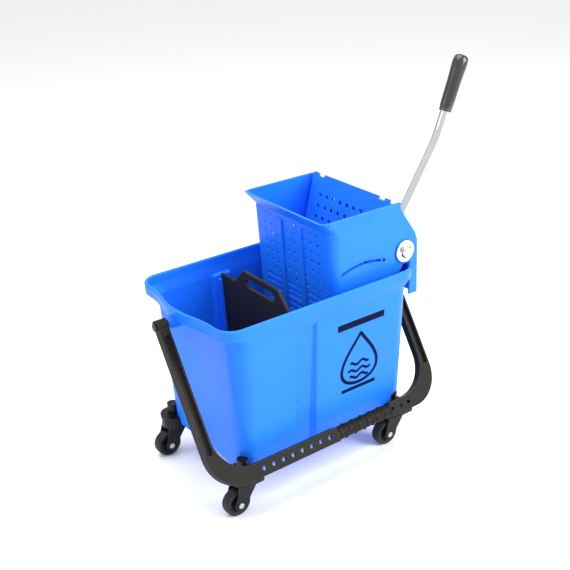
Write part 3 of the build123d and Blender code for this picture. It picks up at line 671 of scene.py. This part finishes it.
rib = link_object("wheel_rib", plain_box("wheel_rib", RIB_LOW, RIB_HIGH))
for side in ("left", "right"):
    for end in ("front", "back"):
        corner = f"{end}_{side}"
        place = Matrix.Translation(centre_of(f"wheel_tyre_{corner}"))
        tyre = lathe(f"tyre_{corner}", TYRE_PROFILE, TYRE_SEGMENTS, place @ ALONG_Y, closed=True)
        piece(f"tyre_{corner}", tyre, "tyre_rubber", f"wheel_{corner}", f"wheel_tyre_{corner}")
        turned = lathe(f"hub_{corner}", HUB_PROFILE, HUB_SEGMENTS, ALONG_Y, closed=True)
        ribs = grow(f"ribs_{corner}", RING, RING_KEYS, Piece=rib, Count=WHEEL_RIBS,
                    Material=FINISHES["black_plastic"])
        hub = joined(f"hub_{corner}", turned, ribs)
        hub.transform(place)
        piece(f"hub_{corner}", hub, "black_plastic", f"wheel_{corner}", f"wheel_hub_{corner}")
bpy.data.objects.remove(rib)
print("four wheels, each with", WHEEL_RIBS, "ribs a side")

# %% [markdown]
# ## The bail's ribbed grip
#
# One barrel is turned with a raised flange and a narrow neck, made oval, and repeated along the bar.
# The whole row is then leaned with the bail.

# %% Bail grip
BAIL_LEAN = radians(32.7)
BARRELS = 6
BARREL_PITCH = 21.33
BARREL_SEGMENTS = 40
GRIP_OVAL = (11.4, 13.9)
BARREL_PROFILE = [
    (0.0, 0.0), (0.72, 0.0), (0.72, 0.8), (0.82, 1.4), (0.87, 3.0), (0.89, 6.0), (0.89, 13.0),
    (0.87, 15.6), (0.82, 16.8), (0.82, 17.2), (0.98, 17.5), (1.0, 18.0), (1.0, 19.4), (0.98, 19.9),
    (0.72, 20.2), (0.72, 21.33), (0.0, 21.33),
]

barrel_mesh = lathe("grip_barrel", [(r / MM, h) for r, h in BARREL_PROFILE], BARREL_SEGMENTS)
barrel_mesh.transform(Matrix.Diagonal((GRIP_OVAL[1] * MM, GRIP_OVAL[0] * MM, 1, 1)))
barrel = link_object("grip_barrel", barrel_mesh)
grip = grow("bail_grip_ribs", ROW, ROW_KEYS, Piece=barrel, Count=BARRELS,
            Step=(0, 0, BARREL_PITCH * MM), Material=FINISHES["bail_plastic"])
bpy.data.objects.remove(barrel)
grip_middle = centre_of("bail_grip")
up_arm = Vector((0, sin(BAIL_LEAN), cos(BAIL_LEAN)))
out_of_bail = Vector((0, -cos(BAIL_LEAN), sin(BAIL_LEAN)))
lean = Matrix((up_arm, out_of_bail, Vector((1, 0, 0)))).transposed().to_4x4()
half_row = Matrix.Translation((0, 0, -BARRELS * BARREL_PITCH * MM / 2))
grip.transform(Matrix.Translation(grip_middle) @ lean @ half_row)
piece("bail_grip_ribs", grip, "bail_plastic", "bail", "bail_grip")
print("bail grip:", BARRELS, "barrels round", tuple(round(v, 3) for v in grip_middle))

# %% [markdown]
# ## The lever's grip and the return spring
#
# The grip is dipped vinyl: a small collar, a waist, a fuller end and a dome. The spring is five turns
# of wire round the axle.

# %% Lever grip and spring
LEVER_END = Vector((0.3682, -0.072, 0.714))
LEVER_TOP_LEAN = radians(21.6)
LEVER_GRIP_LENGTH = 104.0
LEVER_GRIP_SEGMENTS = 48
LEVER_GRIP_PROFILE = [
    (0.0, 0.1), (11.2, 0.1), (11.6, 0.8), (11.6, 3.4), (11.0, 4.2), (11.3, 5.2), (12.0, 8.0),
    (12.4, 20.0), (12.55, 40.0), (12.7, 55.0), (13.2, 70.0), (13.8, 82.0), (13.9, 90.0),
    (13.3, 96.0), (12.0, 99.8), (9.8, 102.0), (6.5, 103.3), (3.0, 103.8), (0.0, 103.9),
]
SPRING_TURNS = 5.0
SPRING_RADIUS = 0.011
SPRING_HEIGHT = 0.0195
SPRING_WIRE = 0.00135

rise = Matrix.Rotation(LEVER_TOP_LEAN, 4, "Y")
foot = LEVER_END - rise.to_3x3() @ Vector((0, 0, LEVER_GRIP_LENGTH * MM))
place = Matrix.Translation(foot) @ rise
lever_grip = lathe("lever_grip_vinyl", LEVER_GRIP_PROFILE, LEVER_GRIP_SEGMENTS, place)
piece("lever_grip_vinyl", lever_grip, "grip_plastic", "lever", "lever_grip")

spring = grow("spring_coil", COIL, COIL_KEYS, Turns=SPRING_TURNS, Radius=SPRING_RADIUS,
              Height=SPRING_HEIGHT, Wire=SPRING_WIRE, Material=FINISHES["steel"])
start = Matrix.Translation((0, 0, -SPRING_HEIGHT / 2))
spring.transform(Matrix.Translation(centre_of("return_spring")) @ ALONG_Y @ start)
piece("spring_coil", spring, "steel", "lever", "return_spring")
print("lever grip", LEVER_GRIP_LENGTH, "mm long, spring of", SPRING_TURNS, "turns")

# %% [markdown]
# ## A plain printed mark
#
# The long wall carries a generic water mark: a drop outline, three waves and two plain bars. Each
# line is a thin strip. Its points are dropped onto the leaning wall, so that the ink follows it.

# %% Printed mark
MARK_X = 81.0
MARK_Z = 222.0
DROP_WIDTH = 88.0
DROP_HEIGHT = 104.0
LINE_WIDTH = 6.5
INK_LIFT = 0.00025
DROP_STEPS = 72
DROP_FULLNESS = 0.66
DROP_TAPER = 1.4
WAVE_STEPS = 32
WAVE_HEIGHT = 3.0
WAVE_PACE = 0.24
WAVES = [(-0.10, 22), (-0.24, 26), (-0.37, 22)]
WAVE_LINE = 0.8
BARS = [(74, 54, 13.0), (-62, 40, 7.0)]
IN_FRONT_Y = -0.4

shell_skin = BVHTree.FromObject(nodes["bucket_shell"], bpy.context.evaluated_depsgraph_get())


def on_wall(x, z, lift):
    """The point of the front wall straight behind (x, z), moved out by lift."""
    spot = shell_skin.ray_cast(Vector((x * MM, IN_FRONT_Y, z * MM)), Vector((0, 1, 0)))[0]
    return spot - Vector((0, lift, 0))


def strip(built, line, width, loops):
    """A thin closed strip of ink along a line of (x, z) points."""
    count = len(line)
    rows = []
    for k, (x, z) in enumerate(line):
        before = line[k - 1] if k or loops else line[k]
        after = line[(k + 1) % count] if k < count - 1 or loops else line[k]
        along = Vector((after[0] - before[0], after[1] - before[1])).normalized()
        dx, dz = -along.y * width / 2, along.x * width / 2
        spots = [(x + dx, z + dz, INK_LIFT), (x - dx, z - dz, INK_LIFT)]
        spots += [(x - dx, z - dz, -INK_LIFT), (x + dx, z + dz, -INK_LIFT)]
        rows.append([built.verts.new(on_wall(*spot)) for spot in spots])
    pairs = list(zip(rows, rows[1:])) + ([(rows[-1], rows[0])] if loops else [])
    for first, second in pairs:
        for k in range(4):
            m = (k + 1) % 4
            built.faces.new((first[k], first[m], second[m], second[k]))
    if not loops:
        built.faces.new(rows[0])
        built.faces.new(rows[-1])


def drop_outline():
    """A drop with its tip at the top."""
    points = []
    for k in range(DROP_STEPS):
        t = 2 * pi * (k + 0.5) / DROP_STEPS
        wide = sin(t) * sin(t / 2) ** DROP_TAPER
        points.append((MARK_X + DROP_WIDTH * DROP_FULLNESS * wide, MARK_Z + DROP_HEIGHT / 2 * cos(t)))
    return points


def wave(z, half_length):
    """A gentle wave from side to side."""
    steps = [2 * k / WAVE_STEPS - 1 for k in range(WAVE_STEPS + 1)]
    return [(MARK_X + half_length * s, z + WAVE_HEIGHT * sin(s * half_length * WAVE_PACE)) for s in steps]


def bar(z, half_length):
    """A straight line from side to side."""
    return [(MARK_X + half_length * s / 6, z) for s in range(-6, 7)]


ink = bmesh.new()
strip(ink, drop_outline(), LINE_WIDTH, True)
for drop_share, half_length in WAVES:
    strip(ink, wave(MARK_Z + DROP_HEIGHT * drop_share, half_length), LINE_WIDTH * WAVE_LINE, False)
for rise_mm, half_length, width in BARS:
    strip(ink, bar(MARK_Z + rise_mm, half_length), width, False)
piece("bucket_print", settle(ink, "bucket_print"), "print_ink", "bucket")
print("printed mark", DROP_WIDTH, "by", DROP_HEIGHT, "mm on the long wall")

# %% [markdown]
# ## Wedges over the wall grooves
#
# The frame's bucket has a fault that no real moulding has: at the head of each outer groove its wall
# is open by a narrow slit. These two short bars only close it for the eye. The solid keeps the slit,
# so the bucket as built would leak there.

# %% Groove wedges
GROOVE_X = -40.0
WEDGE_HALF = 19.0
WEDGE_PROFILE = [
    (127.4, 326.0), (133.2, 326.0), (134.4, 332.6), (134.0, 335.5), (130.5, 334.6), (127.4, 331.0),
]
WEDGE_SLOPE = 1.5
WEDGE_TAPER = 0.6


def wedge(built, side):
    """One short bar across a groove's head, with sloping ends."""
    rows = []
    shoulder = WEDGE_HALF - WEDGE_SLOPE
    sections = [(-WEDGE_HALF, WEDGE_TAPER), (-shoulder, 0.0), (shoulder, 0.0), (WEDGE_HALF, WEDGE_TAPER)]
    for reach, shrink in sections:
        spots = [(GROOVE_X + reach, side * (y - shrink), z - shrink) for y, z in WEDGE_PROFILE]
        rows.append([built.verts.new([v * MM for v in spot]) for spot in spots])
    for first, second in zip(rows, rows[1:]):
        for k in range(len(first)):
            m = (k + 1) % len(first)
            built.faces.new((first[k], first[m], second[m], second[k]))
    built.faces.new(rows[0])
    built.faces.new(rows[-1])


wedges = bmesh.new()
for side in (-1, 1):
    wedge(wedges, side)
piece("groove_wedges", settle(wedges, "groove_wedges"), "blue_plastic", "bucket")
print("two wedges over the wall grooves")
